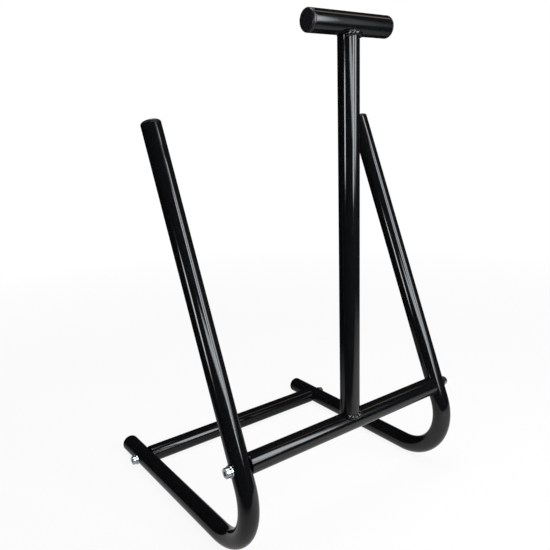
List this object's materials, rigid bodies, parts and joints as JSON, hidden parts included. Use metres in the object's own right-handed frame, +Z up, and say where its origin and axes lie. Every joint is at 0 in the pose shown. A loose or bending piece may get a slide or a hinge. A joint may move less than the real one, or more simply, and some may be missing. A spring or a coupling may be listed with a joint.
{
  "type": "boot washing stand",
  "caption": "Portable round-tube stand with leaning uprights that hold boots upside down for washing and drying, bolted cross tubes and a welded post with a T-shaped carrying handle.",
  "frame": {"origin": "on the floor, at the middle of the stand's footprint", "axes": "+Z up, -Y to the front where the post and handle stand, +X to the right as seen from the front"},
  "size_m": [0.3036, 0.287, 0.4941],
  "materials": {
    "gloss_black_paint": "smooth high-gloss black paint over steel tube",
    "painted_weld": "high-gloss black paint over a rippled weld bead",
    "black_plastic": "moulded black plastic, satin",
    "bright_zinc": "bright bluish zinc plating on steel",
    "plain_steel": "turned plain steel, hidden inside the cross tubes"
  },
  "bodies": {
    "root": {"centre_post": "gloss_black_paint", "handle_tube": "gloss_black_paint", "front_cross_tube": "gloss_black_paint", "rear_cross_tube": "gloss_black_paint", "leg_tube_left": "gloss_black_paint", "leg_tube_right": "gloss_black_paint", "handle_weld_front": "painted_weld", "handle_weld_back": "painted_weld", "foot_weld_front": "painted_weld", "foot_weld_back": "painted_weld", "handle_plug_left": "black_plastic", "handle_plug_right": "black_plastic", "leg_plug_left": "black_plastic", "leg_plug_right": "black_plastic", "upright_plug_left": "black_plastic", "upright_plug_right": "black_plastic", "screw_front_left": "bright_zinc", "screw_front_right": "bright_zinc", "screw_rear_left": "bright_zinc", "screw_rear_right": "bright_zinc", "washer_front_left": "bright_zinc", "washer_front_right": "bright_zinc", "washer_rear_left": "bright_zinc", "washer_rear_right": "bright_zinc", "insert_front_left": "plain_steel", "insert_front_right": "plain_steel", "insert_rear_left": "plain_steel", "insert_rear_right": "plain_steel"}
  },
  "joints": []
}
